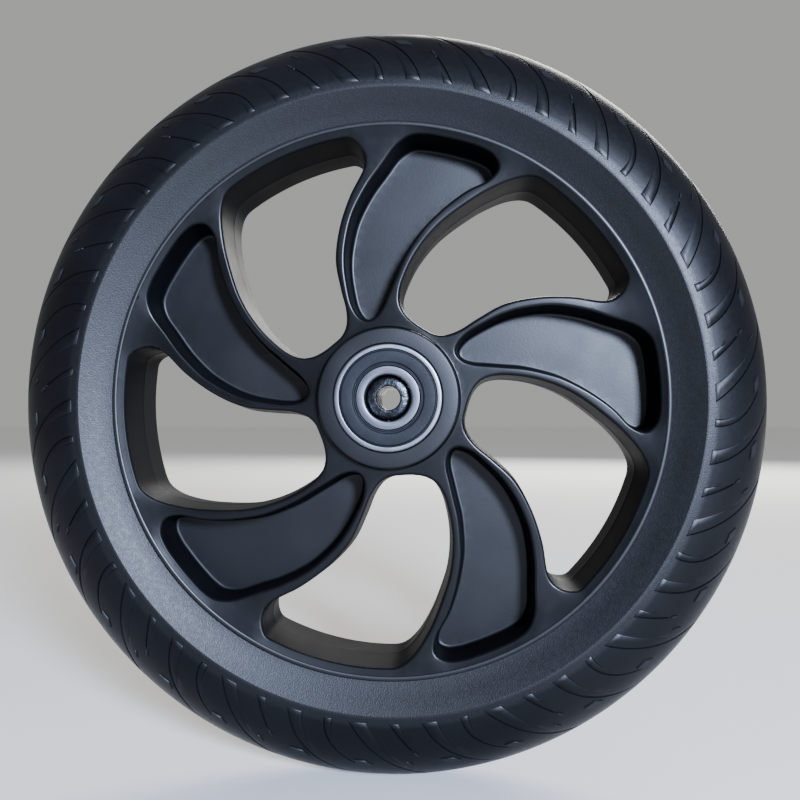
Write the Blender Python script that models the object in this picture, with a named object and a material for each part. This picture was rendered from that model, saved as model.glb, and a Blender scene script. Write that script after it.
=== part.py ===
"""A kick-scooter wheel, 200 mm across: an airless tyre on a moulded nylon rim, two sealed ball bearings,
a steel sleeve through their bores and a spacer tube between their inner rings.

The wheel stands upright with its centre at the origin. It spins about +Y, its front face looks along -Y
and +Z is up. Lengths below are in millimetres, and every mesh is made in metres.
"""

import math

import bmesh
import bpy

MM = 0.001

# Driving dimensions
WHEEL_RADIUS = 100.0
TYRE_HALF_WIDTH = 14.7
BEAD_RADIUS = 71.2
BAND_RADIUS = 80.6
RIM_HALF_WIDTH = 12.5
SPOKE_HALF_WIDTH = 10.8
WEB_HALF_THICKNESS = 2.0
HUB_RADIUS = 18.5
HUB_HALF_WIDTH = 13.3
SPOKES = 5
BALLS = 8

# Bearing 6001: 12 mm bore, 28 mm outside, 8 mm wide, balls of 3/16 inch
BEARING_BORE = 6.0
BEARING_RADIUS = 14.0
BEARING_HALF_WIDTH = 4.0
BEARING_CENTRE = 9.6
BALL_RADIUS = 2.381
PITCH_RADIUS = 10.0
RACE_RADIUS = 2.5
OUTER_SHOULDER = 11.7
INNER_SHOULDER = 8.25
OUTER_RING_EDGE = 0.35
INNER_RING_EDGE = 0.4
LIP_CHAMFER = 0.15
SEAL_SEAT = 12.75
SEAL_THICKNESS = 0.6
SEAL_RECESS = 0.25
CAGE_HALF_WALL = 0.9
CAGE_TOP = 1.0
CAGE_POCKET = 2.6

# Fits
SEAT_GAP = 0.05
FACE_GAP = 0.05
TYRE_GAP = 0.12
SEAL_LIP_GAP = 0.15
SPACER_GAP = 0.15

# Tyre bead: a rounded lip that stands a little above the start of the funnel-shaped band
LIP_HEIGHT = 12.75
LIP_EDGE = 0.35
LIP_WIDTH = 0.75
BAND_FOOT = 1.6
BAND_RISE = 3.0

# Rim details
RIM_EDGE = 0.5
RIM_INNER_RADIUS = 68.9
LOCK_RIB_RADIUS = 77.0
LOCK_RIB_HALF_WIDTH = 4.0
LOCK_RIB_SLOPE = 0.5
HUB_BORE = 11.5
HUB_EDGE = 0.7
HUB_TAPER = 0.1
SEAT_CHAMFER = 0.3
WALL_DRAFT = 0.05
POCKET_DRAFT = 0.08
OPENING_OUTER_RADIUS = 69.3
POCKET_OUTER_RADIUS = 69.6

# Axle parts
SLEEVE_RADIUS = 5.9
SLEEVE_HOLE = 3.1
SLEEVE_RECESS = 1.7
SLEEVE_CHAMFER = 0.4
SLEEVE_DOME = 1.1
SPACER_RADIUS = 8.0

# How far the cutters reach past the tyre's faces
CUTTER_EXCESS = 3.0

# Steps round a turned piece, and across the tyre's crown from its side to its middle
RIM_STEPS = 72
BEARING_STEPS = 32
BALL_STEPS = 10
BALL_RINGS = 6
CROWN_STEPS = 6
RACE_STEPS = 4

# One opening, as (radius, degrees) along its edge. It starts at the hub, runs out along the trailing
# edge of a spoke, and comes back along the leading edge of the next spoke clockwise.
OPENING_TRAILING_EDGE = (
    (20.2, -9.5), (21.0, 0.8), (22.9, 8.2), (25.9, 11.8), (31.0, 11.2), (39.2, 7.1), (47.7, 1.6),
    (56.6, -5.0), (62.2, -9.0), (66.3, -12.3), (68.9, -15.6),
)
OPENING_LEADING_EDGE = (
    (68.9, -45.6), (65.4, -48.0), (61.1, -47.9), (54.1, -43.1), (46.7, -38.0), (39.0, -33.2),
    (31.5, -30.6), (25.9, -28.6), (22.2, -24.4), (20.4, -17.6),
)
OPENING_ARC = (-19.5, -42.5)

# One pocket of a spoke, as (radius, degrees): from its outer end in along the trailing rib, round the
# hub end, and out along the leading rib.
POCKET_EDGE = (
    (69.0, -5.3), (66.6, -7.6), (62.6, -6.7), (58.2, -3.0), (53.3, 0.6), (48.7, 3.9), (44.4, 7.0),
    (39.8, 9.8), (35.7, 12.4), (31.3, 14.9), (27.2, 18.0), (23.8, 21.5), (21.6, 26.6), (21.0, 33.0),
    (22.6, 38.0), (26.4, 39.6), (31.6, 38.2), (36.7, 36.4), (42.2, 33.6), (49.3, 29.2),
    (56.1, 24.0), (61.6, 19.6), (66.3, 16.4), (69.0, 13.2),
)
POCKET_ARC = (10.0, -2.0)
ARC_STEP = 6.0


def clear_scene():
    for thing in list(bpy.data.objects):
        bpy.data.objects.remove(thing, do_unlink=True)


def material(name, colour, roughness, metallic=0.0):
    made = bpy.data.materials.new(name)
    made.use_nodes = True
    shader = made.node_tree.nodes["Principled BSDF"]
    shader.inputs["Base Color"].default_value = (*colour, 1.0)
    shader.inputs["Roughness"].default_value = roughness
    shader.inputs["Metallic"].default_value = metallic
    return made


def polar(radius, degrees):
    angle = math.radians(degrees)
    return radius * math.cos(angle), radius * math.sin(angle)


def arc(radius, start, end, step=ARC_STEP):
    count = max(1, round(abs(end - start) / step))
    return [polar(radius, start + (end - start) * i / count) for i in range(count + 1)]


def inset(outline, distance):
    """The closed outline with each point moved square to the edge, inwards for a positive distance."""
    count = len(outline)
    turn = sum(
        outline[i - 1][0] * outline[i][1] - outline[i][0] * outline[i - 1][1] for i in range(count)
    )
    side = 1.0 if turn > 0 else -1.0
    moved = []
    for i, (x, z) in enumerate(outline):
        before, after = outline[i - 1], outline[(i + 1) % count]
        along_x, along_z = after[0] - before[0], after[1] - before[1]
        length = math.hypot(along_x, along_z)
        moved.append((x - side * distance * along_z / length, z + side * distance * along_x / length))
    return moved


def opening_outline():
    """The edge of one opening in the rim's front face."""
    trailing = [polar(*p) for p in OPENING_TRAILING_EDGE]
    leading = [polar(*p) for p in OPENING_LEADING_EDGE]
    return trailing + arc(OPENING_OUTER_RADIUS, *OPENING_ARC) + leading


def pocket_outline():
    """The edge of one spoke pocket at the level of the rim's front face."""
    return [polar(*p) for p in POCKET_EDGE] + arc(POCKET_OUTER_RADIUS, *POCKET_ARC)


def finish_mesh(name, shell, finish, parent=None, centre=(0.0, 0.0, 0.0)):
    """Turns a bmesh made in millimetres about the origin into an object at centre, in metres."""
    bmesh.ops.recalc_face_normals(shell, faces=shell.faces)
    bmesh.ops.scale(shell, vec=(MM, MM, MM), verts=shell.verts)
    mesh = bpy.data.meshes.new(name)
    shell.to_mesh(mesh)
    shell.free()
    mesh.shade_smooth()
    mesh.set_sharp_from_angle(angle=math.radians(30))
    mesh.materials.append(finish)
    made = bpy.data.objects.new(name, mesh)
    made.location = [MM * c for c in centre]
    made.parent = parent
    bpy.context.scene.collection.objects.link(made)
    return made


def turned(name, profile, steps, finish, parent=None, centre=(0.0, 0.0, 0.0)):
    """A ring: the closed (radius, y) profile spun round the Y axis."""
    shell = bmesh.new()
    rings = []
    for step in range(steps):
        angle = 2 * math.pi * step / steps
        rings.append([
            shell.verts.new((radius * math.cos(angle), y, radius * math.sin(angle)))
            for radius, y in profile
        ])
    for ring, following in zip(rings, rings[1:] + rings[:1]):
        for i in range(len(profile)):
            j = (i + 1) % len(profile)
            shell.faces.new((ring[i], ring[j], following[j], following[i]))
    return finish_mesh(name, shell, finish, parent, centre)


def lofted(name, sections, turn_degrees, finish):
    """A closed solid through outlines of equal length at rising y, turned about the Y axis."""
    cosine, sine = polar(1.0, turn_degrees)
    shell = bmesh.new()
    loops = []
    for y, outline in sections:
        loops.append([
            shell.verts.new((x * cosine - z * sine, y, x * sine + z * cosine)) for x, z in outline
        ])
    shell.faces.new(loops[0])
    shell.faces.new(loops[-1])
    for low, high in zip(loops, loops[1:]):
        for i in range(len(low)):
            j = (i + 1) % len(low)
            shell.faces.new((low[i], low[j], high[j], high[i]))
    return finish_mesh(name, shell, finish)


def cut(body, cutters):
    """Takes the cutters away from the body, all at once."""
    group = bpy.data.collections.new(body.name + "_cutters")
    bpy.context.scene.collection.children.link(group)
    for cutter in cutters:
        bpy.context.scene.collection.objects.unlink(cutter)
        group.objects.link(cutter)
        cutter.hide_render = True
        cutter.display_type = "WIRE"
    boolean = body.modifiers.new("cutouts", "BOOLEAN")
    boolean.operand_type = "COLLECTION"
    boolean.collection = group
    boolean.operation = "DIFFERENCE"
    boolean.solver = "EXACT"


def mirrored(half):
    """A closed profile from its +Y half, which runs from the y = 0 plane back to it."""
    return half + [(radius, -y) for radius, y in reversed(half) if y > 0]


def make_rim(finish, parent):
    """The nylon moulding: hub, five pocketed spokes and the band that carries the tyre."""
    seat = BEARING_RADIUS + SEAT_GAP
    shoulder = BEARING_CENTRE - BEARING_HALF_WIDTH - FACE_GAP
    half = [
        (HUB_BORE, shoulder),
        (seat, shoulder),
        (seat, HUB_HALF_WIDTH - SEAT_CHAMFER),
        (seat + SEAT_CHAMFER, HUB_HALF_WIDTH),
        (HUB_RADIUS - HUB_EDGE, HUB_HALF_WIDTH),
        (HUB_RADIUS, HUB_HALF_WIDTH - HUB_EDGE),
        (HUB_RADIUS + HUB_TAPER, SPOKE_HALF_WIDTH),
        (RIM_INNER_RADIUS, SPOKE_HALF_WIDTH),
        (RIM_INNER_RADIUS, RIM_HALF_WIDTH - RIM_EDGE),
        (RIM_INNER_RADIUS + RIM_EDGE, RIM_HALF_WIDTH),
        (BEAD_RADIUS - RIM_EDGE, RIM_HALF_WIDTH),
        (BEAD_RADIUS, RIM_HALF_WIDTH - RIM_EDGE),
        (BEAD_RADIUS, LOCK_RIB_HALF_WIDTH + LOCK_RIB_SLOPE),
        (LOCK_RIB_RADIUS, LOCK_RIB_HALF_WIDTH),
    ]
    rim = turned("rim", mirrored(half), RIM_STEPS, finish, parent)
    reach = TYRE_HALF_WIDTH + CUTTER_EXCESS
    opening = opening_outline()
    pocket = pocket_outline()
    cutters = []
    for number in range(SPOKES):
        turn = number * 360.0 / SPOKES
        through = [
            (-reach, inset(opening, -WALL_DRAFT * (reach - RIM_HALF_WIDTH))),
            (0.0, inset(opening, WALL_DRAFT * RIM_HALF_WIDTH)),
            (reach, inset(opening, -WALL_DRAFT * (reach - RIM_HALF_WIDTH))),
        ]
        cutters.append(lofted(f"opening_cutter_{number + 1}", through, turn, finish))
        floor = inset(pocket, POCKET_DRAFT * (RIM_HALF_WIDTH - WEB_HALF_THICKNESS))
        mouth = inset(pocket, -POCKET_DRAFT * (reach - RIM_HALF_WIDTH))
        front = [(-reach, mouth), (-WEB_HALF_THICKNESS, floor)]
        rear = [(WEB_HALF_THICKNESS, floor), (reach, mouth)]
        cutters.append(lofted(f"front_pocket_cutter_{number + 1}", front, turn, finish))
        cutters.append(lofted(f"rear_pocket_cutter_{number + 1}", rear, turn, finish))
    cut(rim, cutters)
    return rim


def make_tyre(finish, parent):
    """The airless tyre: a funnel-shaped band beside the rim, then a round tread up to the full radius."""
    seat = BEAD_RADIUS + TYRE_GAP
    lock = LOCK_RIB_RADIUS + TYRE_GAP
    half = [
        (lock, LOCK_RIB_HALF_WIDTH + TYRE_GAP),
        (seat, LOCK_RIB_HALF_WIDTH + LOCK_RIB_SLOPE + TYRE_GAP),
        (seat, LIP_HEIGHT - LIP_EDGE),
        (seat + LIP_EDGE, LIP_HEIGHT),
        (seat + LIP_WIDTH, LIP_HEIGHT),
        (seat + BAND_FOOT, TYRE_HALF_WIDTH - BAND_RISE),
    ]
    for step in range(CROWN_STEPS + 1):
        angle = math.radians(90 * (1 - step / CROWN_STEPS))
        half.append((
            BAND_RADIUS + (WHEEL_RADIUS - BAND_RADIUS) * math.cos(angle),
            TYRE_HALF_WIDTH * math.sin(angle) if step < CROWN_STEPS else 0.0,
        ))
    return turned("tyre", mirrored(half), RIM_STEPS, finish, parent)


def race(groove_centre, shoulder, sign):
    """Points (radius, y) across a ball groove, from +y to -y. The sign is +1 for the outer ring."""
    rise = sign * (shoulder - groove_centre)
    half_angle = math.acos(rise / RACE_RADIUS)
    points = []
    for step in range(RACE_STEPS + 1):
        angle = half_angle * (1 - 2 * step / RACE_STEPS)
        radius = groove_centre + sign * RACE_RADIUS * math.cos(angle)
        points.append((radius, RACE_RADIUS * math.sin(angle)))
    return points


def outer_ring_profile():
    width = BEARING_HALF_WIDTH
    seat = width - SEAL_RECESS - SEAL_THICKNESS - FACE_GAP
    half = [
        (OUTER_SHOULDER, seat),
        (SEAL_SEAT, seat),
        (SEAL_SEAT, width),
        (BEARING_RADIUS - OUTER_RING_EDGE, width),
        (BEARING_RADIUS, width - OUTER_RING_EDGE),
    ]
    other = [(radius, -y) for radius, y in reversed(half)]
    groove = race(PITCH_RADIUS, OUTER_SHOULDER, 1)
    return half + other + groove[::-1]


def inner_ring_profile():
    width = BEARING_HALF_WIDTH
    half = [
        (INNER_SHOULDER, width - LIP_CHAMFER),
        (INNER_SHOULDER - LIP_CHAMFER, width),
        (BEARING_BORE + INNER_RING_EDGE, width),
        (BEARING_BORE, width - INNER_RING_EDGE),
    ]
    other = [(radius, -y) for radius, y in reversed(half)]
    groove = race(PITCH_RADIUS, INNER_SHOULDER, -1)
    return half + other + groove[::-1]


def make_seal(name, side, centre, finish, parent):
    """A thin rubber washer, let into the outer ring and just clear of the inner one."""
    outside = BEARING_HALF_WIDTH - SEAL_RECESS
    inside = outside - SEAL_THICKNESS
    lip = INNER_SHOULDER + SEAL_LIP_GAP
    rim_edge = SEAL_SEAT - SEAT_GAP
    profile = [
        (rim_edge, inside),
        (rim_edge, outside),
        (lip, outside),
        (lip, inside),
    ]
    turned_profile = [(radius, side * y) for radius, y in profile]
    return turned(name, turned_profile, BEARING_STEPS, finish, parent, centre)


def ball_shell():
    shell = bmesh.new()
    bmesh.ops.create_uvsphere(shell, u_segments=BALL_STEPS, v_segments=BALL_RINGS, radius=BALL_RADIUS)
    return shell


def ball_centres(side):
    for number in range(BALLS):
        x, z = polar(PITCH_RADIUS, 360.0 * number / BALLS)
        yield number + 1, (x, side * BEARING_CENTRE, z)


def make_cage(name, side, centre, finish, parent):
    """A crown cage: a thin ring on the inner side of the balls, with a rounded pocket for each of them."""
    base = BEARING_HALF_WIDTH - SEAL_RECESS - SEAL_THICKNESS - 2 * FACE_GAP
    low, high = PITCH_RADIUS - CAGE_HALF_WALL, PITCH_RADIUS + CAGE_HALF_WALL
    profile = [(low, side * CAGE_TOP), (high, side * CAGE_TOP), (high, -side * base), (low, -side * base)]
    cage = turned(name, profile, BEARING_STEPS, finish, parent, centre)
    cutters = []
    for number, place in ball_centres(side):
        shell = bmesh.new()
        bmesh.ops.create_uvsphere(shell, u_segments=BALL_STEPS, v_segments=BALL_RINGS, radius=CAGE_POCKET)
        cutters.append(finish_mesh(f"{name}_cutter_{number}", shell, finish, None, place))
    cut(cage, cutters)


def make_bearing(word, side, finishes, axle, wheel, cage_pivot):
    """All the pieces of one sealed ball bearing. The side is -1 at the front and +1 at the rear."""
    steel, rubber, cage_finish = finishes
    centre = (0.0, side * BEARING_CENTRE, 0.0)
    turned(f"{word}_outer_ring", outer_ring_profile(), BEARING_STEPS, steel, wheel, centre)
    turned(f"{word}_inner_ring", inner_ring_profile(), BEARING_STEPS, steel, axle, centre)
    make_seal(f"{word}_outer_seal", side, centre, rubber, wheel)
    make_seal(f"{word}_inner_seal", -side, centre, rubber, wheel)
    make_cage(f"{word}_cage", side, centre, cage_finish, cage_pivot)
    for number, place in ball_centres(side):
        finish_mesh(f"{word}_ball_{number}", ball_shell(), steel, cage_pivot, place)


def make_sleeve(finish, parent):
    """The steel sleeve that fills both bearing bores, with a domed end and a hole for the axle bolt."""
    end = BEARING_CENTRE + BEARING_HALF_WIDTH - SLEEVE_RECESS
    dome = SLEEVE_RADIUS - SLEEVE_HOLE - SLEEVE_CHAMFER
    half = [
        (SLEEVE_HOLE, end - SLEEVE_CHAMFER),
        (SLEEVE_HOLE + SLEEVE_CHAMFER, end),
        (SLEEVE_RADIUS - 0.6 * dome, end - 0.1 * SLEEVE_DOME),
        (SLEEVE_RADIUS - 0.2 * dome, end - 0.45 * SLEEVE_DOME),
        (SLEEVE_RADIUS, end - SLEEVE_DOME),
    ]
    turned("axle_sleeve", mirrored(half), BEARING_STEPS, finish, parent)


def make_spacer(finish, parent):
    end = BEARING_CENTRE - BEARING_HALF_WIDTH - FACE_GAP
    half = [(SLEEVE_RADIUS + SPACER_GAP, end), (SPACER_RADIUS, end)]
    turned("bearing_spacer", mirrored(half), BEARING_STEPS, finish, parent)


def pivot(name):
    """An empty on the wheel's axis, which its moving pieces hang from."""
    made = bpy.data.objects.new(name, None)
    bpy.context.scene.collection.objects.link(made)
    return made


def main():
    clear_scene()
    axle = pivot("axle_pivot")
    wheel = pivot("wheel_pivot")
    tyre_rubber = material("tyre_rubber", (0.022, 0.024, 0.028), 0.75)
    nylon = material("black_nylon", (0.018, 0.020, 0.024), 0.45)
    steel = material("bearing_steel", (0.62, 0.62, 0.62), 0.25, 1.0)
    dark_steel = material("dark_steel", (0.30, 0.30, 0.31), 0.30, 1.0)
    seal_rubber = material("seal_rubber", (0.030, 0.032, 0.038), 0.55)
    cage_nylon = material("cage_nylon", (0.55, 0.50, 0.38), 0.50)
    make_tyre(tyre_rubber, wheel)
    make_rim(nylon, wheel)
    for word, side in (("front", -1), ("rear", 1)):
        cage_pivot = pivot(f"{word}_cage_pivot")
        make_bearing(word, side, (steel, seal_rubber, cage_nylon), axle, wheel, cage_pivot)
    make_sleeve(dark_steel, axle)
    make_spacer(dark_steel, axle)


main()
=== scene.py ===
"""The looks of a kick-scooter wheel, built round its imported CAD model.

The wheel stands upright and spins about +Y, and its front face looks along -Y. The shapes below are made
in millimetres, as points (x, height, z) whose height is measured from the wheel's middle plane, and
become meshes in metres. A part that is alike at the front and the rear is made once and mirrored.
"""

import math

import bmesh
import bpy
import numpy as np
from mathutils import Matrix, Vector
from mathutils.geometry import delaunay_2d_cdt


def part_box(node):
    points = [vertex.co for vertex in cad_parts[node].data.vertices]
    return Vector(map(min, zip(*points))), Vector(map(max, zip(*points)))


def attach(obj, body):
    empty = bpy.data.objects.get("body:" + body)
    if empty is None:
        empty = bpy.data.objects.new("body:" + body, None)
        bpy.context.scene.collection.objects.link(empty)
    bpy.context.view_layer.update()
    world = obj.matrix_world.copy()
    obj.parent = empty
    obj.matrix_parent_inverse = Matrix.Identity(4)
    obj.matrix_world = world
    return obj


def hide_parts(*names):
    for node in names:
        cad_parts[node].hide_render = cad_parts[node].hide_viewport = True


MM = 0.001

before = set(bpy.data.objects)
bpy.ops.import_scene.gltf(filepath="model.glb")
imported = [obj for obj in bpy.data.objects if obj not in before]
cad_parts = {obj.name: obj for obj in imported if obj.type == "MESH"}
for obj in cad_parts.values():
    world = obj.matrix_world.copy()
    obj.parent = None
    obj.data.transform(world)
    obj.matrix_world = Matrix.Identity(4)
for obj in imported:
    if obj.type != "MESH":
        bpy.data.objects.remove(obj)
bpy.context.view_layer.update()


def reach(node, axis):
    """How far a CAD node reaches from the wheel's centre along an axis, in millimetres."""
    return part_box(node)[1][axis] / MM


# Sizes that the CAD model sets
WHEEL_RADIUS = reach("tyre", 0)
TYRE_HALF_WIDTH = reach("tyre", 1)
HUB_HALF_WIDTH = reach("rim", 1)
SLEEVE_END = reach("axle_sleeve", 1)
BEARING_RADIUS = reach("rear_outer_ring", 2)
BEARING_FACE = reach("rear_outer_ring", 1)
BEARING_HALF_WIDTH = 4.0
BEARING_CENTRE = BEARING_FACE - BEARING_HALF_WIDTH

# Tyre. The lip is the low ridge beside the rim, and the band is the slope from its foot to the tread.
BEAD_RADIUS = 71.2
TYRE_GAP = 0.03
SEAT_ROW = 9.0
LIP_HEIGHT = 12.75
LIP_TOP = 0.35
LIP_FALL = 0.2
LIP_WIDTH = 1.05
LIP_SLOPE = 0.1
BAND_FOOT = 1.5
BAND_RISE = 3.55
BAND_RADIUS = 80.6
BAND_END = (0.12, 0.05)
LOCK_RIB_RADIUS = 77.0
LOCK_RIB_HALF_WIDTH = 4.0
LOCK_RIB_SLOPE = 0.5
TREAD_REPEATS = 15
REPEAT = 360.0 / TREAD_REPEATS
SLOT_START = 1.8
SLOT_OUTLINE = 0.18
SLOT_FLOOR = 0.42
OUTLINE_DEPTH = 0.32
FLOOR_DEPTH = 0.18
SLOT_FADE = 0.6
MARK_EDGE = 0.12
ROW_SPACING = 1.1

# The tread slots of one repeat, in order of rising angle. Each is narrow at its outer end. The right edge
# starts at an angle in degrees, leans by a slope per millimetre and bends by a square term.
SLOTS = (
    {"start": -12.0, "slope": 0.25, "bend": 0.0155, "widths": (2.75, 0.5), "length": 21.0},
    {"start": -5.25, "slope": 0.00, "bend": 0.0330, "widths": (1.50, 0.6), "length": 13.7},
    {"start": -1.00, "slope": 0.50, "bend": 0.0050, "widths": (3.25, 0.6), "length": 24.0},
    {"start": 6.20, "slope": 0.43, "bend": 0.0030, "widths": (1.80, 0.5), "length": 8.0},
)
# Where the columns of points lie across the rubber between one slot and the next
GAP_COLUMNS = (
    (0.0, 0.25, 0.5, 0.75),
    (0.0, 0.06, 0.09, 0.23, 0.37, 0.40, 0.7),
    (0.0, 0.14, 0.28, 0.31, 0.35, 0.38, 0.7),
    (0.0, 0.2, 0.40, 0.43, 0.62, 0.81, 0.84),
)
# Small raised marks between the slots: zone (even for a slot, odd for the rubber after it), the share of
# the zone's width and the stretch along the tread that it covers
MARKS = (
    {"zone": 3, "across": (0.08, 0.38), "along": (11.8, 13.7)},
    {"zone": 7, "across": (0.42, 0.82), "along": (11.8, 13.7)},
    {"zone": 5, "across": (0.30, 0.36), "along": (11.8, 13.7)},
    {"zone": 6, "across": (0.005, 0.995), "along": (8.3, 9.7)},
)
MARK_HEIGHT = 0.3
# Where the grained finish starts and ends, as the two radii between which it fades
GRAIN_START = (BEAD_RADIUS + 1.4, BEAD_RADIUS + 1.8)
GRAIN_END = (BAND_RADIUS + 2.0, BAND_RADIUS + 3.6)
LIP_END = (BEAD_RADIUS + 1.3, BEAD_RADIUS + 1.7)

# Rim
RIM_HALF_WIDTH = 12.5
SPOKE_HEIGHT = 10.8
SPOKE_RISE = (58.0, BEAD_RADIUS)
WEB_HEIGHT = 2.0
HUB_RADIUS = 18.5
HUB_TAPER = 0.1
HUB_BORE = 11.5
BOSS_FOOT = 0.4
BOSS_EDGE = 0.8
BOSS_FALL = 0.15
BOSS_SLOPE = (16.6, 15.2)
SEAT_GAP = 0.05
SEAT_CHAMFER = 0.3
RIB_ROUNDING = 0.78
RIM_EDGE = 0.04
FLOOR_ROUNDING = 0.9
OPENING_DRAFT = 0.05
POCKET_DRAFT = 0.08
OPENING_OUTER_RADIUS = 69.3
POCKET_OUTER_RADIUS = 69.6
PARTING_WIDTH = 0.35
PARTING_HEIGHT = 0.1
RIM_SIDE = 8.0
SPOKES = 5

# Bearings and sleeve
BALLS = 8
PITCH_RADIUS = 10.0
GROOVE_RADIUS = 2.5
OUTER_GROOVE_ANGLE = 47.0
INNER_GROOVE_ANGLE = 45.6
OUTER_SHOULDER = 11.7
INNER_SHOULDER = 8.25
BEARING_BORE = 6.0
SEAL_SEAT = 12.75
SEAL_SEAT_DEPTH = 0.9
SEAL_BACK = 3.15
# The seal's outer side, as (radius, height above the bearing's middle, rounding), from the outside in
SEAL_PROFILE = (
    (12.7, 3.42, 0.1), (12.4, 3.45, 0.1), (12.15, 3.75, 0.15), (9.35, 3.75, 0.2), (9.1, 3.38, 0.08),
    (8.85, 3.38, 0.06), (8.72, 3.62, 0.08), (8.4, 3.62, 0.1),
)
# The sleeve's end, as (radius, depth below its end face, rounding), from its bore outwards
SLEEVE_PROFILE = (
    (3.1, 0.0, 0.45), (3.9, 0.0, 0.3), (4.9, 0.15, 0.4), (5.55, 0.5, 0.3), (5.9, 1.1, 0.2),
)

# Stage, in metres
FLOOR_REACH = 40.0
FLOOR_GAP = 0.0005

# How finely the meshes are cut
EDGE_SPACING = 1.0
SKIN_SPACING = 1.3
RIM_STEPS = 360
HUB_STEPS = 144
BEARING_STEPS = 144
SHARP_ANGLE = math.radians(35.0)

# One opening, as (radius, degrees) along its edge: out along the trailing edge of a spoke, and back along
# the leading edge of the next spoke clockwise
OPENING_TRAILING_EDGE = (
    (20.2, -9.5), (21.0, 0.8), (22.9, 8.2), (25.9, 11.8), (31.0, 11.2), (39.2, 7.1), (47.7, 1.6),
    (56.6, -5.0), (62.2, -9.0), (66.3, -12.3), (68.9, -15.6),
)
OPENING_ARC = (-19.5, -42.5)
OPENING_LEADING_EDGE = (
    (68.9, -45.6), (65.4, -48.0), (61.1, -47.9), (54.1, -43.1), (46.7, -38.0), (39.0, -33.2),
    (31.5, -30.6), (25.9, -28.6), (22.2, -24.4), (20.4, -17.6),
)
# One pocket of a spoke, in along the trailing rib, round the hub end and out along the leading rib
POCKET_EDGE = (
    (69.0, -5.3), (66.6, -7.6), (62.6, -6.7), (58.2, -3.0), (53.3, 0.6), (48.7, 3.9), (44.4, 7.0),
    (39.8, 9.8), (35.7, 12.4), (31.3, 14.9), (27.2, 18.0), (23.8, 21.5), (21.6, 26.6), (21.0, 33.0),
    (22.6, 38.0), (26.4, 39.6), (31.6, 38.2), (36.7, 36.4), (42.2, 33.6), (49.3, 29.2),
    (56.1, 24.0), (61.6, 19.6), (66.3, 16.4), (69.0, 13.2),
)
POCKET_ARC = (10.0, -2.0)


# ---------------------------------------------------------------------------- mesh helpers


class Shell:
    """The points and faces of one mesh, in millimetres."""

    def __init__(self):
        self.points = []
        self.faces = []

    def add(self, points):
        start = len(self.points)
        self.points.extend([tuple(p) for p in points])
        return list(range(start, len(self.points)))

    def strip(self, first, second, closed=True):
        """Quads between two rows of equally many points."""
        count = len(first)
        for i in range(count if closed else count - 1):
            j = (i + 1) % count
            self.faces.append((first[i], first[j], second[j], second[i]))

    def rows(self, rows, closed=True):
        for first, second in zip(rows, rows[1:]):
            self.strip(first, second, closed)


def even_out(made):
    """Shades a piece so that its large faces look flat and the bends beside them stay narrow."""
    modifier = made.modifiers.new("even_out", "WEIGHTED_NORMAL")
    modifier.keep_sharp = True


def make_piece(name, shell, finish, body, nodes, mirror=False):
    """Turns a shell into a piece that rides on a body and stands for its CAD nodes."""
    mesh = bpy.data.meshes.new(name)
    points = [(MM * x, MM * y, MM * z) for x, y, z in shell.points]
    mesh.from_pydata(points, [], shell.faces)
    work = bmesh.new()
    work.from_mesh(mesh)
    if mirror:
        everything = work.verts[:] + work.edges[:] + work.faces[:]
        bmesh.ops.mirror(work, geom=everything, axis="Y", merge_dist=MM * 0.001)
    bmesh.ops.recalc_face_normals(work, faces=work.faces)
    work.to_mesh(mesh)
    work.free()
    mesh.shade_smooth()
    mesh.set_sharp_from_angle(angle=SHARP_ANGLE)
    mesh.materials.append(finish)
    made = bpy.data.objects.new(name, mesh)
    bpy.context.scene.collection.objects.link(made)
    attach(made, body)
    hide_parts(*nodes)
    return made


def polar(radius, degrees):
    """The (x, z) point at a distance from the axis and an angle round it."""
    angle = math.radians(degrees)
    return radius * math.cos(angle), radius * math.sin(angle)


def rounded(corners, steps=3):
    """A closed profile from corners (radius, height, rounding), each replaced by a small curve."""
    profile = []
    for i, (radius, height, size) in enumerate(corners):
        here = np.array((radius, height))
        if not size:
            profile.append(tuple(here))
            continue
        before = np.array(corners[i - 1][:2]) - here
        after = np.array(corners[(i + 1) % len(corners)][:2]) - here
        start = here + before * min(0.49, size / np.linalg.norm(before))
        end = here + after * min(0.49, size / np.linalg.norm(after))
        for step in range(steps + 1):
            t = step / steps
            profile.append(tuple((1 - t) ** 2 * start + 2 * t * (1 - t) * here + t ** 2 * end))
    return profile


def turned(profile, steps, centre=0.0):
    """A ring: the closed (radius, height) profile spun round the wheel's axis."""
    shell = Shell()
    rings = []
    for radius, height in profile:
        points = [polar(radius, 360.0 * i / steps) for i in range(steps)]
        rings.append(shell.add([(x, height + centre, z) for x, z in points]))
    shell.rows(rings + rings[:1])
    return shell


def both_sides(half):
    """A closed profile from its +height half, which runs from the middle plane back to it."""
    return half + [(radius, -height, size) for radius, height, size in reversed(half) if height > 0]


# ---------------------------------------------------------------------------- tyre


def slot_edges(slot, along):
    """The angles of a slot's right and left edges at a place along the tread."""
    length = slot["length"]
    inner, outer = slot["widths"]
    used = min(max(along, 0.0), length)
    right = slot["start"] + slot["slope"] * used + slot["bend"] * used ** 2
    if along > length:
        right += (slot["slope"] + 2 * slot["bend"] * length) * (along - length)
    return right, right + inner + (outer - inner) * used / length


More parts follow.
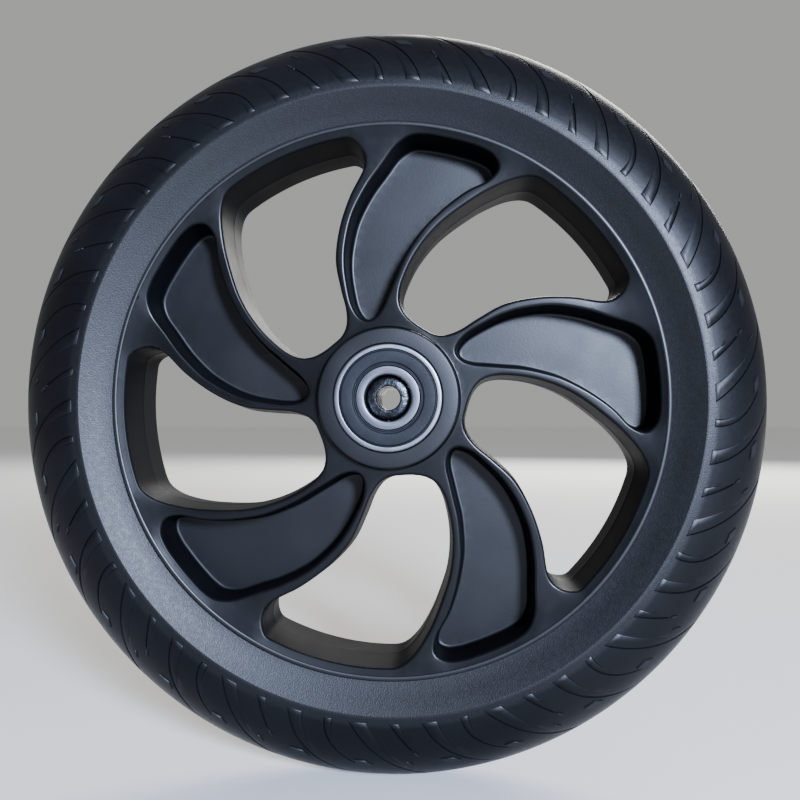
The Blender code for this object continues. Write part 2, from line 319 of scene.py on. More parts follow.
def tread_columns(along):
    """One repeat's columns at a place along the tread, as (degrees, zone, share across, depth)."""
    radius = crown_point(along)[0]
    edges = [slot_edges(slot, along) for slot in SLOTS]
    edges.append((edges[0][0] + REPEAT, None))
    columns = []
    for number in range(len(SLOTS)):
        right, left = edges[number]
        width = left - right
        outline = min(math.degrees(SLOT_OUTLINE / radius), 0.15 * width)
        floor = min(math.degrees(SLOT_FLOOR / radius), 0.35 * width)
        fade = min(max(1.0 - along / (SLOT_FADE * SLOTS[number]["length"]), 0.0), 1.0)
        columns += [
            (right, 2 * number, 0.0, 0.0),
            (right + outline, 2 * number, 0.01, OUTLINE_DEPTH),
            (right + floor, 2 * number, 0.1, FLOOR_DEPTH),
            (right + width / 2, 2 * number, 0.5, FLOOR_DEPTH * (0.6 + 0.4 * fade)),
            (left - floor, 2 * number, 0.9, FLOOR_DEPTH * fade),
            (left - outline, 2 * number, 0.99, OUTLINE_DEPTH * fade),
        ]
        for share in GAP_COLUMNS[number]:
            degrees = left + (edges[number + 1][0] - left) * share
            columns.append((degrees, 2 * number + 1, share, 0.0))
    return columns


def tread_places():
    """Places along the tread, from the band's edge to the crown, with rows at every wall."""
    crown = crown_length() - SLOT_START
    special = [-SLOT_START, 0.0, SLOT_OUTLINE, SLOT_FLOOR]
    for slot in SLOTS:
        special += [slot["length"] - inset for inset in (SLOT_FLOOR, SLOT_OUTLINE, 0.0)]
    for mark in MARKS:
        start, end = mark["along"]
        special += [start, start + MARK_EDGE, end - MARK_EDGE, end]
    special.append(crown)
    special = sorted({round(s, 4) for s in special})
    places = list(special)
    for low, high in zip(special, special[1:]):
        extra = int((high - low) / ROW_SPACING)
        places += [low + (high - low) * (i + 1) / (extra + 1) for i in range(extra)]
    return sorted(places)


def crown_length():
    """The length of the tread's curve, taken as round, from the band's edge to the crown."""
    return (WHEEL_RADIUS - BAND_RADIUS) * math.pi / 2


def crown_point(along):
    """The radius and height of the smooth tread at a place along it, and the direction square to it."""
    across = WHEEL_RADIUS - BAND_RADIUS
    turn = (along + SLOT_START) / across
    height = TYRE_HALF_WIDTH * math.cos(turn)
    outward = Vector((TYRE_HALF_WIDTH * math.sin(turn), across * math.cos(turn))).normalized()
    return BAND_RADIUS + across * math.sin(turn), height if height > 1e-6 else 0.0, outward


def relief(along, zone, share, depth):
    """How far a point of the tread stands above the smooth crown, in millimetres."""
    for mark in MARKS:
        inside = mark["across"][0] < share < mark["across"][1]
        if zone == mark["zone"] and inside and mark["along"][0] < along < mark["along"][1]:
            return MARK_HEIGHT
    from_end = min(along, SLOTS[zone // 2]["length"] - along)
    if depth == 0.0 or from_end <= 0.0:
        return 0.0
    if from_end == along and from_end < SLOT_FLOOR - 0.01:
        return -OUTLINE_DEPTH
    return -depth


def tread_row(along):
    """The points of one row round the tread."""
    radius, height, outward = crown_point(along)
    points = []
    columns = tread_columns(along)
    for repeat in range(TREAD_REPEATS):
        for degrees, zone, share, depth in columns:
            rise = relief(along, zone, share, depth)
            x, z = polar(radius + rise * outward[0], degrees + repeat * REPEAT)
            points.append((x, height + rise * outward[1] if height else 0.0, z))
    return points


def bead_profile():
    """The tyre's section from the middle plane over its seat and lip, and along the band to its edge."""
    seat = BEAD_RADIUS + TYRE_GAP
    lock = LOCK_RIB_RADIUS + TYRE_GAP
    lock_width = LOCK_RIB_HALF_WIDTH + TYRE_GAP
    foot = seat + BAND_FOOT
    foot_height = TYRE_HALF_WIDTH - BAND_RISE
    return rounded([
        (lock, 0.0, 0.0),
        (lock, lock_width, 0.0),
        (seat, lock_width + LOCK_RIB_SLOPE, 0.0),
        (seat, SEAT_ROW, 0.0),
        (seat, LIP_HEIGHT - LIP_FALL, 0.05),
        (seat + LIP_TOP, LIP_HEIGHT, 0.2),
        (seat + LIP_WIDTH, LIP_HEIGHT - LIP_SLOPE, 0.25),
        (foot, foot_height, 0.25),
        (foot + (BAND_RADIUS - foot) * 0.5, foot_height + BAND_RISE * 0.5, 0.0),
        (BAND_RADIUS - BAND_END[0], TYRE_HALF_WIDTH - BAND_END[1], 0.0),
    ])


def make_tyre(finish):
    """The tyre: its section turned round the axis, and then the rows of the tread."""
    shell = Shell()
    degrees = [
        column[0] + repeat * REPEAT
        for repeat in range(TREAD_REPEATS)
        for column in tread_columns(-SLOT_START)
    ]
    rows = []
    for radius, height in bead_profile():
        rows.append(shell.add([(x, height, z) for x, z in (polar(radius, d) for d in degrees)]))
    for along in tread_places():
        rows.append(shell.add(tread_row(along)))
    shell.rows(rows)
    make_piece("moulded_tyre", shell, finish, "wheel", ["tyre"], mirror=True)


# ---------------------------------------------------------------------------- rim


def spline(points, spacing):
    """A closed smooth curve through the points, as points evenly spaced along it."""
    fine = []
    count = len(points)
    for i in range(count):
        a, b, c, d = (np.array(points[(i + k) % count]) for k in (-1, 0, 1, 2))
        for step in range(12):
            t = step / 12
            fine.append(0.5 * (
                2 * b + (c - a) * t + (2 * a - 5 * b + 4 * c - d) * t ** 2
                + (3 * b - a - 3 * c + d) * t ** 3
            ))
    fine = np.array(fine + fine[:1])
    travelled = np.concatenate([[0.0], np.cumsum(np.linalg.norm(np.diff(fine, axis=0), axis=1))])
    number = round(travelled[-1] / spacing)
    places = np.arange(number) * travelled[-1] / number
    return np.stack([np.interp(places, travelled, fine[:, k]) for k in (0, 1)], axis=1)


def inward(outline):
    """For each point of a closed outline, the unit direction square to the edge and into it."""
    along = np.roll(outline, -1, axis=0) - np.roll(outline, 1, axis=0)
    along /= np.linalg.norm(along, axis=1, keepdims=True)
    side = np.stack([-along[:, 1], along[:, 0]], axis=1)
    after = np.roll(outline, -1, axis=0)
    area = np.sum(outline[:, 0] * after[:, 1] - after[:, 0] * outline[:, 1])
    return side if area > 0 else -side


def rotated(outline, degrees):
    """The outline turned about the wheel's axis."""
    cosine, sine = polar(1.0, degrees)
    return outline @ np.array(((cosine, sine), (-sine, cosine)))


def arc(radius, start, end, count=5):
    return [polar(radius, start + (end - start) * i / (count - 1)) for i in range(count)]


def opening_outline():
    trailing = [polar(*p) for p in OPENING_TRAILING_EDGE]
    leading = [polar(*p) for p in OPENING_LEADING_EDGE]
    return spline(trailing + arc(OPENING_OUTER_RADIUS, *OPENING_ARC) + leading, EDGE_SPACING)


def pocket_outline():
    edge = [polar(*p) for p in POCKET_EDGE]
    return spline(edge + arc(POCKET_OUTER_RADIUS, *POCKET_ARC), EDGE_SPACING)


def skin_height(points):
    """The height of the spokes' ribs and the rim ring at points of the front face."""
    low, high = SPOKE_RISE
    share = np.clip((np.hypot(points[:, 0], points[:, 1]) - low) / (high - low), 0.0, 1.0)
    return SPOKE_HEIGHT + (RIM_HALF_WIDTH - SPOKE_HEIGHT) * share ** 2


def raised(outline, heights):
    heights = np.broadcast_to(heights, len(outline))
    return [(x, h, z) for (x, z), h in zip(outline, heights)]


def wall_rows(shell, outline, draft):
    """The rounded edge of a recess, from the front face down to the foot of the rounding."""
    into = inward(outline)
    top = skin_height(outline)
    rows = []
    skin = None
    for step in range(6):
        angle = math.radians(90 * step / 5)
        out = RIB_ROUNDING * (1 - math.sin(angle))
        height = top - RIB_ROUNDING * (1 - math.cos(angle))
        shift = draft * (RIM_HALF_WIDTH - height) - out
        edge = outline + into * shift[:, None]
        skin = edge if skin is None else skin
        rows.append(shell.add(raised(edge, height)))
    return rows, skin, into, top - RIB_ROUNDING


def cut_opening(shell, outline):
    """An opening's wall, down to the parting line at the middle plane. Gives its edge in the skin."""
    rows, skin, into, foot = wall_rows(shell, outline, OPENING_DRAFT)
    for share in (0.66, 0.33, 0.0):
        height = PARTING_WIDTH + (foot - PARTING_WIDTH) * share
        shift = OPENING_DRAFT * (RIM_HALF_WIDTH - height)
        rows.append(shell.add(raised(outline + into * shift[:, None], height)))
    ridge = OPENING_DRAFT * RIM_HALF_WIDTH + PARTING_HEIGHT
    rows.append(shell.add(raised(outline + into * ridge, 0.0)))
    shell.rows(rows)
    return rows[0], skin


def cut_pocket(shell, outline):
    """A pocket's wall and floor, with a rounded corner between them. Gives its edge in the skin."""
    rows, skin, into, foot = wall_rows(shell, outline, POCKET_DRAFT)
    base = WEB_HEIGHT + FLOOR_ROUNDING
    for share in (0.5, 0.0):
        height = base + (foot - base) * share
        shift = POCKET_DRAFT * (RIM_HALF_WIDTH - height)
        rows.append(shell.add(raised(outline + into * shift[:, None], height)))
    for step in range(1, 5):
        angle = math.radians(90 * step / 4)
        height = base - FLOOR_ROUNDING * math.sin(angle)
        shift = POCKET_DRAFT * (RIM_HALF_WIDTH - base) + FLOOR_ROUNDING * (1 - math.cos(angle))
        edge = outline + into * shift
        rows.append(shell.add(raised(edge, height)))
    shell.rows(rows)
    fill(shell, [(rows[-1], edge)], [], WEB_HEIGHT, SKIN_SPACING * 2)
    return rows[0], skin


def inside(points, outline):
    """Whether each point lies inside a closed outline."""
    x, z = points[:, 0, None], points[:, 1, None]
    x0, z0 = outline.T
    x1, z1 = np.roll(outline, -1, axis=0).T
    rise = np.where(z1 == z0, 1e-12, z1 - z0)
    crosses = ((z0 > z) != (z1 > z)) & (x < (x1 - x0) * (z - z0) / rise + x0)
    return crosses.sum(axis=1) % 2 == 1


def in_region(points, outers, holes):
    """Whether each point lies inside an outer outline and outside every hole."""
    kept = np.zeros(len(points), bool)
    for outline in outers:
        kept |= inside(points, outline)
    for outline in holes:
        kept &= ~inside(points, outline)
    return kept


def grid_inside(border, regions, spacing):
    """A triangular grid of points inside the regions, clear of the border's own points."""
    low, high = border.min(axis=0), border.max(axis=0)
    grid_x, grid_z = np.meshgrid(*(np.arange(low[k], high[k], spacing) for k in (0, 1)))
    grid_x = grid_x + (np.arange(len(grid_x)) % 2)[:, None] * spacing / 2
    inner = np.stack([grid_x.ravel(), grid_z.ravel()], axis=1)
    inner = inner[in_region(inner, *regions)]
    near = np.array([np.min(np.sum((border - p) ** 2, axis=1)) for p in inner])
    return inner[near > (0.55 * spacing) ** 2]


def loop_edges(outlines):
    """The edges of closed outlines whose points are numbered one after another."""
    edges = []
    start = 0
    for outline in outlines:
        count = len(outline)
        edges += [(start + i, start + (i + 1) % count) for i in range(count)]
        start += count
    return edges


def fill(shell, outers, holes, height, spacing):
    """Triangles between the outer loops and the holes, each given as (point numbers, outline)."""
    loops = outers + holes
    outlines = [outline for _, outline in loops]
    border = np.concatenate(outlines)
    numbers = [n for indices, _ in loops for n in indices]
    regions = [o for _, o in outers], [o for _, o in holes]
    inner = grid_inside(border, regions, spacing)
    numbers += shell.add(raised(inner, height(inner) if callable(height) else height))
    flat = np.concatenate([border, inner])
    points = [Vector(p) for p in flat]
    _, _, faces, sources, _, _ = delaunay_2d_cdt(points, loop_edges(outlines), [], 0, 1e-7, True)
    corners = np.array([[sources[v][0] for v in face] for face in faces])
    kept = in_region(flat[corners].mean(axis=1), *regions)
    shell.faces += [tuple(numbers[v] for v in face) for face in corners[kept]]


def circle(shell, radius, height, steps):
    """A ring of points about the axis. Gives their numbers and their outline."""
    points = np.array([polar(radius, 360.0 * i / steps) for i in range(steps)])
    return shell.add(raised(points, height)), points


def turn_rows(shell, first, profile, steps):
    """Rows turned about the axis that carry on from a loop already made."""
    shell.rows([first] + [circle(shell, radius, height, steps)[0] for radius, height in profile])


def curve(centre, size, start, end, steps=5):
    """Points (radius, height) of an arc about a centre, from one angle in degrees to another."""
    turned_points = [polar(size, start + (end - start) * i / steps) for i in range(steps + 1)]
    return [(centre[0] + x, centre[1] + y) for x, y in turned_points]


def boss_profile():
    """The hub's section, from the foot of its boss over its end and down through the bearing seat."""
    seat = BEARING_RADIUS + SEAT_GAP
    shoulder = BEARING_CENTRE - BEARING_HALF_WIDTH - SEAT_GAP
    foot = (HUB_RADIUS + HUB_TAPER + BOSS_FOOT, SPOKE_HEIGHT + BOSS_FOOT)
    edge = (HUB_RADIUS - BOSS_EDGE, HUB_HALF_WIDTH - BOSS_FALL - BOSS_EDGE)
    return curve(foot, BOSS_FOOT, 270, 180, 3)[1:] + curve(edge, BOSS_EDGE, 0, 90) + [
        (BOSS_SLOPE[0], HUB_HALF_WIDTH - BOSS_FALL / 3),
        (BOSS_SLOPE[1], HUB_HALF_WIDTH),
        (seat + SEAT_CHAMFER, HUB_HALF_WIDTH),
        (seat, HUB_HALF_WIDTH - SEAT_CHAMFER),
        (seat, shoulder),
        (HUB_BORE + SEAT_CHAMFER, shoulder),
        (HUB_BORE, shoulder - SEAT_CHAMFER),
        (HUB_BORE, 0.0),
    ]


def side_profile():
    """The rim's outer edge, from its front face to the rib that locks the tyre."""
    edge = (BEAD_RADIUS - RIM_EDGE, RIM_HALF_WIDTH - RIM_EDGE)
    return curve(edge, RIM_EDGE, 90, 0)[1:] + [
        (BEAD_RADIUS, RIM_SIDE),
        (BEAD_RADIUS, LOCK_RIB_HALF_WIDTH + LOCK_RIB_SLOPE),
        (LOCK_RIB_RADIUS, LOCK_RIB_HALF_WIDTH),
        (LOCK_RIB_RADIUS, 0.0),
    ]


def make_rim(finish):
    """The rim, spokes and hub: one moulding, made as its front half and mirrored."""
    shell = Shell()
    holes = []
    for number in range(SPOKES):
        turn = number * 360.0 / SPOKES
        holes.append(cut_opening(shell, rotated(opening_outline(), turn)))
        holes.append(cut_pocket(shell, rotated(pocket_outline(), turn)))
    outer = circle(shell, BEAD_RADIUS - RIM_EDGE, RIM_HALF_WIDTH, RIM_STEPS)
    hub = circle(shell, HUB_RADIUS + HUB_TAPER + BOSS_FOOT, SPOKE_HEIGHT, HUB_STEPS)
    fill(shell, [outer], holes + [hub], skin_height, SKIN_SPACING)
    turn_rows(shell, outer[0], side_profile(), RIM_STEPS)
    turn_rows(shell, hub[0], boss_profile(), HUB_STEPS)
    even_out(make_piece("moulded_rim", shell, finish, "wheel", ["rim"], mirror=True))


# ---------------------------------------------------------------------------- bearings and axle


def groove(sign, half):
    """The ball groove of the outer (sign 1) or inner (sign -1) ring, and how far round it reaches."""
    points = curve((PITCH_RADIUS, 0.0), GROOVE_RADIUS, -half, half, 8)
    return [(PITCH_RADIUS + sign * (radius - PITCH_RADIUS), height, 0.0) for radius, height in points]


def make_rings(word, side, steel):
    """The outer ring, which turns with the wheel, and the inner ring, which is clamped on the sleeve."""
    width = BEARING_HALF_WIDTH
    seat = width - SEAL_SEAT_DEPTH
    centre = side * BEARING_CENTRE
    outer = both_sides([
        (OUTER_SHOULDER, seat, 0.05), (SEAL_SEAT, seat, 0.05),
        (SEAL_SEAT, width, 0.12), (BEARING_RADIUS, width, 0.5),
    ]) + groove(1, OUTER_GROOVE_ANGLE)
    inner = both_sides([
        (INNER_SHOULDER, width, 0.2), (BEARING_BORE, width, 0.55),
    ]) + groove(-1, INNER_GROOVE_ANGLE)
    for kind, profile, body in (("outer", outer, "wheel"), ("inner", inner, "axle")):
        shell = turned(rounded(profile), BEARING_STEPS, centre)
        name = f"{word}_ground_{kind}_ring"
        make_piece(name, shell, steel, body, [f"{word}_{kind}_ring"])


def make_seal(name, side, centre, rubber):
    """A moulded rubber seal: a thick flat rim, a step down, and a thin lip round the inner ring."""
    back = [(SEAL_PROFILE[end][0], SEAL_BACK, 0.05) for end in (0, -1)]
    profile = rounded([back[0], *SEAL_PROFILE, back[1]])
    shell = turned([(radius, side * height) for radius, height in profile], BEARING_STEPS, centre)
    make_piece(f"moulded_{name}", shell, rubber, "wheel", [name])


def make_balls(word, steel):
    """Polished balls, each rolling in its place in the cage."""
    for number in range(1, BALLS + 1):
        node = f"{word}_ball_{number}"
        low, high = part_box(node)
        mesh = bpy.data.meshes.new(f"polished_{node}")
        ball = bmesh.new()
        bmesh.ops.create_icosphere(ball, subdivisions=4, radius=(high.z - low.z) / 2)
        bmesh.ops.translate(ball, vec=(low + high) / 2, verts=ball.verts)
        ball.to_mesh(mesh)
        ball.free()
        mesh.shade_smooth()
        mesh.materials.append(steel)
        made = bpy.data.objects.new(f"polished_{node}", mesh)
        bpy.context.scene.collection.objects.link(made)
        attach(made, node)
        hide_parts(node)


def make_sleeve(steel):
    """The steel sleeve through both bearings, with a shallow dome round its bore at each end."""
    half = [(radius, SLEEVE_END - depth, size) for radius, depth, size in SLEEVE_PROFILE]
    shell = turned(rounded(both_sides(half)), BEARING_STEPS)
    make_piece("turned_axle_sleeve", shell, steel, "axle", ["axle_sleeve"])


# ---------------------------------------------------------------------------- materials


class Finish:
    """A material whose Principled shader is fed by procedural nodes."""

    def __init__(self, name, metallic=0.0, specular=0.5):
        self.made = bpy.data.materials.new(name)
        self.made.use_nodes = True
        self.tree = self.made.node_tree
        self.shader = self.tree.nodes["Principled BSDF"]
        self.shader.inputs["Metallic"].default_value = metallic
        self.shader.inputs["Specular IOR Level"].default_value = specular
        self.place = self.tree.nodes.new("ShaderNodeTexCoord").outputs["Object"]

    def node(self, kind, **inputs):
        made = self.tree.nodes.new(kind)
        for name, value in inputs.items():
            self.feed(made.inputs[name.replace("_", " ")], value)
        return made

    def feed(self, socket, value):
        if isinstance(value, bpy.types.NodeSocket):
            self.tree.links.new(value, socket)
        else:
            socket.default_value = value

    def noise(self, scale, detail=3.0, roughness=0.55, vector=None):
        made = self.node("ShaderNodeTexNoise", Scale=scale, Detail=detail, Roughness=roughness)
        self.feed(made.inputs["Vector"], vector or self.place)
        return made.outputs["Fac"]

    def maths(self, operation, first, second=0.0):
        made = self.tree.nodes.new("ShaderNodeMath")
        made.operation = operation
        self.feed(made.inputs[0], first)
        self.feed(made.inputs[1], second)
        return made.outputs[0]

    def mapped(self, value, low, high, to_low=0.0, to_high=1.0):
        made = self.tree.nodes.new("ShaderNodeMapRange")
        made.interpolation_type = "SMOOTHSTEP"
        for number, setting in enumerate((value, low, high, to_low, to_high)):
            self.feed(made.inputs[number], setting)
        return made.outputs[0]

    def fade(self, length, start, end, to_low=0.0, to_high=1.0):
        """Goes from one value to another as a length grows from start to end, in millimetres."""
        return self.mapped(length, MM * start, MM * end, to_low, to_high)

    def mixed(self, share, first, second):
        made = self.tree.nodes.new("ShaderNodeMix")
        made.data_type = "RGBA"
        self.feed(made.inputs[0], share)
        for socket, value in ((made.inputs[6], first), (made.inputs[7], second)):
            self.feed(socket, (*value, 1.0) if isinstance(value, tuple) else value)
        return made.outputs[2]

    def coordinate(self, number):
        return self.node("ShaderNodeSeparateXYZ", Vector=self.place).outputs[number]

    def level(self):
        """How squarely the surface faces along the wheel's axis, from 0 to 1."""
        normal = self.tree.nodes.new("ShaderNodeTexCoord").outputs["Normal"]
        facing = self.node("ShaderNodeSeparateXYZ", Vector=normal).outputs[1]
        return self.maths("ABSOLUTE", facing)

    def above_tread(self):
        """1 on what stands above the smooth crown of the tyre, and 0 elsewhere."""
        across = (WHEEL_RADIUS - BAND_RADIUS) * MM
        out = self.maths("DIVIDE", self.maths("SUBTRACT", self.radius(), BAND_RADIUS * MM), across)
        up = self.maths("DIVIDE", self.coordinate(1), TYRE_HALF_WIDTH * MM)
        squares = self.maths("ADD", self.maths("MULTIPLY", out, out), self.maths("MULTIPLY", up, up))
        on_tread = self.maths("GREATER_THAN", out, 0.05)
        return self.maths("MULTIPLY", on_tread, self.mapped(squares, 1.012, 1.024))

    def distance(self, first, second):
        """The distance from the origin along two of the axes, in metres."""
        parts = self.node("ShaderNodeSeparateXYZ", Vector=self.place).outputs
        squares = [self.maths("MULTIPLY", parts[axis], parts[axis]) for axis in (first, second)]
        return self.maths("SQRT", self.maths("ADD", *squares))

    def radius(self):
        """The distance from the wheel's axis, in metres."""
        return self.distance(0, 2)

    def rings(self):
        """Coordinates that change quickly across a turned surface and slowly round it."""
        parts = self.node("ShaderNodeSeparateXYZ", Vector=self.place).outputs
        made = self.tree.nodes.new("ShaderNodeCombineXYZ")
        self.feed(made.inputs[0], self.radius())
        self.feed(made.inputs[1], parts[1])
        angle = self.maths("ARCTAN2", parts[2], parts[0])
        self.feed(made.inputs[2], self.maths("MULTIPLY", angle, 0.0002))
        return made.outputs[0]

    def bump(self, height, distance, strength=1.0, normal=None):
        made = self.node("ShaderNodeBump", Height=height, Distance=distance, Strength=strength)
        if normal is not None:
            self.feed(made.inputs["Normal"], normal)
        return made.outputs["Normal"]

    def shade(self, colour, roughness, normal=None):
        self.feed(self.shader.inputs["Base Color"], colour)
        self.feed(self.shader.inputs["Roughness"], roughness)
        if normal is not None:
            self.feed(self.shader.inputs["Normal"], normal)
        return self.made


def tyre_finish():
    """Black rubber with a lip painted paler as a painted highlight, a grained side band and shoulder, and a
    satin tread whose raised marks are painted paler, as scuffed rubber and as painted glints.
    """
    m = Finish("tyre_rubber")
    radius = m.radius()
    grained = m.maths("MULTIPLY", m.fade(radius, *GRAIN_START), m.fade(radius, *GRAIN_END, 1.0, 0.0))
    grain = m.noise(3400.0, 2.0, 0.6)
    fine = m.noise(900.0, 4.0)
    cloud = m.noise(45.0, 4.0)
    colour = m.mixed(m.mapped(cloud, 0.35, 0.65), (0.0014, 0.0015, 0.0020), (0.0023, 0.0025, 0.0032))
    flecks = m.maths("MULTIPLY", grained, m.mapped(grain, 0.45, 0.75))
    colour = m.mixed(flecks, colour, (0.0038, 0.0043, 0.0054))
    # Painted glint and scuff: the marks standing above the tread are painted paler.
    colour = m.mixed(m.maths("MULTIPLY", m.above_tread(), 0.12), colour, (0.040, 0.042, 0.046))
    # Painted highlight: the lip beside the rim is painted a little paler, and it is also made shinier.
    lip = m.fade(radius, *LIP_END, 1.0, 0.0)
    colour = m.mixed(lip, colour, (0.0050, 0.0054, 0.0066))
    roughness = m.mapped(fine, 0.3, 0.7, 0.37, 0.43)
    shine = m.maths("ADD", m.mapped(grained, 0.0, 1.0, 0.12, 0.19), m.maths("MULTIPLY", lip, 0.17))
    m.feed(m.shader.inputs["Specular IOR Level"], shine)
    coarse = m.bump(m.maths("MULTIPLY", grained, grain), 0.00006, 0.8)
    normal = m.bump(fine, 0.00003, 0.4, coarse)
    return m.shade(colour, roughness, normal)


def rim_finish():
    """Black nylon: satin on the ribs, matt on the pocket floors and the boss, and dull on ring and walls."""
    m = Finish("black_nylon")
    grain = m.noise(2300.0, 2.0, 0.6)
    flow = m.noise(70.0, 5.0)
    height = m.maths("ABSOLUTE", m.coordinate(1))
    floor = m.fade(height, WEB_HEIGHT + 0.1, WEB_HEIGHT + 0.5, 1.0, 0.0)
    boss = m.fade(height, HUB_HALF_WIDTH - 0.4, HUB_HALF_WIDTH - 0.2)
    level = m.mapped(m.level(), 0.4, 0.8)
    matt = m.maths("MULTIPLY", m.maths("ADD", floor, boss), level)
    colour = m.mixed(m.mapped(flow, 0.35, 0.7), (0.0014, 0.0015, 0.0019), (0.0021, 0.0023, 0.0029))
    colour = m.mixed(matt, colour, (0.0018, 0.0021, 0.0029))
    smooth_roughness = m.mapped(flow, 0.3, 0.7, 0.27, 0.34)
    ring = m.fade(m.radius(), BEAD_RADIUS - 5.2, BEAD_RADIUS - 2.2)
    wall = m.mapped(m.level(), 0.15, 0.45, 1.0, 0.0)
    roughness = m.maths("ADD", smooth_roughness, m.maths("MULTIPLY", m.maths("ADD", matt, ring), 0.11))
    roughness = m.maths("ADD", roughness, m.maths("MULTIPLY", wall, 0.2))
    shine = m.maths("ADD", m.mapped(matt, 0.0, 1.0, 0.16, 0.23), m.maths("MULTIPLY", ring, -0.07))
    shine = m.maths("MULTIPLY", shine, m.mapped(wall, 0.0, 1.0, 1.0, 0.3))
    m.feed(m.shader.inputs["Specular IOR Level"], shine)
    bumps = m.maths("MULTIPLY", grain, m.mapped(matt, 0.0, 1.0, 0.4, 1.0))
    return m.shade(colour, roughness, m.bump(bumps, 0.00003, 0.5))


def ground_steel():
    """Bearing steel, ground bright, with fine lines round the axis."""
    m = Finish("bearing_steel", metallic=1.0)
    lines = m.noise(9000.0, 2.0, 0.6, m.rings())
    stain = m.noise(160.0, 4.0)
    colour = m.mixed(m.mapped(stain, 0.4, 0.7), (0.165, 0.175, 0.195), (0.12, 0.128, 0.143))
    inner_ring = m.fade(m.radius(), INNER_SHOULDER + 0.55, INNER_SHOULDER + 0.95, 1.0, 0.0)
    colour = m.mixed(m.maths("MULTIPLY", inner_ring, 0.8), colour, (0.085, 0.090, 0.103))
    roughness = m.mapped(lines, 0.2, 0.8, 0.30, 0.48)
    return m.shade(colour, roughness, m.bump(lines, 0.00001, 0.5))


def polished_steel():
    """The balls' steel, close to a mirror."""
    m = Finish("polished_steel", metallic=1.0)
    haze = m.noise(900.0, 3.0)
    colour = m.mixed(haze, (0.70, 0.70, 0.71), (0.60, 0.60, 0.62))
    return m.shade(colour, m.mapped(haze, 0.3, 0.7, 0.08, 0.16))


def dark_steel():
    """Steel sleeve, darkened, with a burnished and slightly hammered end."""
    m = Finish("dark_steel", metallic=1.0)
    dents = m.noise(700.0, 3.0)
    lines = m.noise(7000.0, 2.0, 0.6, m.rings())
    stain = m.noise(350.0, 4.0)
    colour = m.mixed(m.mapped(stain, 0.35, 0.65), (0.012, 0.013, 0.015), (0.056, 0.060, 0.068))
    roughness = m.mapped(stain, 0.3, 0.7, 0.42, 0.22)
    normal = m.bump(lines, 0.00001, 0.4, m.bump(dents, 0.00025, 0.8))
    return m.shade(colour, roughness, normal)


def seal_rubber():
    """The seals' rubber, dark blue-grey and matt."""
    m = Finish("seal_rubber", specular=0.17)
    grain = m.noise(2600.0, 3.0, 0.6)
    cloud = m.noise(260.0, 3.0)
    colour = m.mixed(m.mapped(cloud, 0.35, 0.65), (0.0025, 0.0032, 0.0047), (0.0046, 0.0057, 0.0083))
    roughness = m.mapped(grain, 0.3, 0.7, 0.50, 0.62)
    return m.shade(colour, roughness, m.bump(grain, 0.00004, 0.6))


def cage_nylon():
    """The cages' plain cream nylon."""
    m = Finish("cage_nylon")
    grain = m.noise(1500.0, 3.0)
    colour = m.mixed(grain, (0.60, 0.55, 0.43), (0.50, 0.45, 0.33))
    return m.shade(colour, m.mapped(grain, 0.3, 0.7, 0.4, 0.55), m.bump(grain, 0.00003, 0.4))


# ---------------------------------------------------------------------------- stage


def add_camera():
    """The camera faces the wheel's front, from a little to the right of its axis and below it."""
    camera = bpy.data.cameras.new("camera")
    camera.lens = 36.0
    camera.sensor_width = 36.0
    camera.clip_start = 0.01
    made = bpy.data.objects.new("camera", camera)
    made.location = (0.0124, -0.2184, -0.0071)
    made.rotation_euler = (math.radians(91.82), 0.0, math.radians(2.59))
    bpy.context.scene.collection.objects.link(made)
    bpy.context.scene.camera = made


def add_light(name, place, size, power, colour):
    """A square soft light that faces the wheel's centre."""
    lamp = bpy.data.lights.new(name, "AREA")
    lamp.shape = "SQUARE"
    lamp.size = size
    lamp.energy = power
    lamp.color = colour
    made = bpy.data.objects.new(name, lamp)
    made.location = place
    made.rotation_euler = (-Vector(place)).to_track_quat("-Z", "Y").to_euler()
    made.visible_camera = False
    bpy.context.scene.collection.objects.link(made)


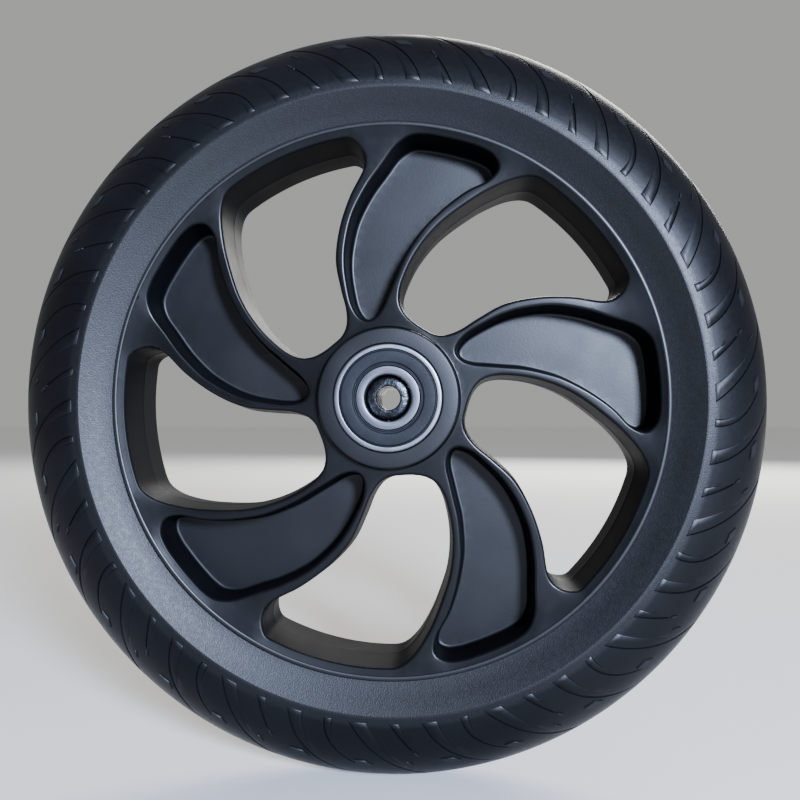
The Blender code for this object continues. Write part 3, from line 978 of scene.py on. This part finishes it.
def floor_finish():
    """A pale matt floor, painted paler away from the wheel where the lamps light it less, until it is as
    pale as the background: painted light.
    """
    m = Finish("pale_floor")
    colour = m.mixed(m.noise(40.0, 3.0), (0.52, 0.51, 0.495), (0.55, 0.54, 0.525))
    # Painted light: the floor's colour grows paler with distance from the wheel, standing in for lamp light
    # that falls off there.
    colour = m.mixed(m.fade(m.distance(0, 1), 500.0, 1800.0), colour, (0.93, 0.925, 0.915))
    return m.shade(colour, 0.85)


def add_floor():
    mesh = bpy.data.meshes.new("floor")
    floor = bmesh.new()
    bmesh.ops.create_grid(floor, x_segments=8, y_segments=8, size=FLOOR_REACH)
    floor.to_mesh(mesh)
    floor.free()
    mesh.materials.append(floor_finish())
    made = bpy.data.objects.new("floor", mesh)
    made.location.z = -MM * WHEEL_RADIUS - FLOOR_GAP
    bpy.context.scene.collection.objects.link(made)


def add_stage():
    """A pale floor under the wheel, a pale background, and soft light from the front and from behind."""
    add_floor()
    world = bpy.data.worlds.new("world")
    world.use_nodes = True
    sky = world.node_tree.nodes["Background"]
    sky.inputs["Color"].default_value = (0.93, 0.93, 0.92, 1.0)
    sky.inputs["Strength"].default_value = 0.43
    bpy.context.scene.world = world
    add_light("key", (0.346, -0.796, 0.236), 0.16, 46.0, (0.62, 0.73, 1.0))
    add_light("rear", (0.45, 1.35, 1.0), 1.0, 50.0, (1.0, 0.98, 0.95))


# ---------------------------------------------------------------------------- the wheel


def main():
    """Builds every piece. The cages and the spacer keep their CAD shape and get a finish."""
    add_camera()
    add_stage()
    steel, rubber, polished = ground_steel(), seal_rubber(), polished_steel()
    sleeve_steel, nylon = dark_steel(), cage_nylon()
    make_tyre(tyre_finish())
    make_rim(rim_finish())
    for word, side in (("front", -1), ("rear", 1)):
        make_rings(word, side, steel)
        centre = side * BEARING_CENTRE
        make_seal(f"{word}_outer_seal", side, centre, rubber)
        make_seal(f"{word}_inner_seal", -side, centre, rubber)
        make_balls(word, polished)
        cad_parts[f"{word}_cage"].data.materials[0] = nylon
    make_sleeve(sleeve_steel)
    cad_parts["bearing_spacer"].data.materials[0] = sleeve_steel


main()
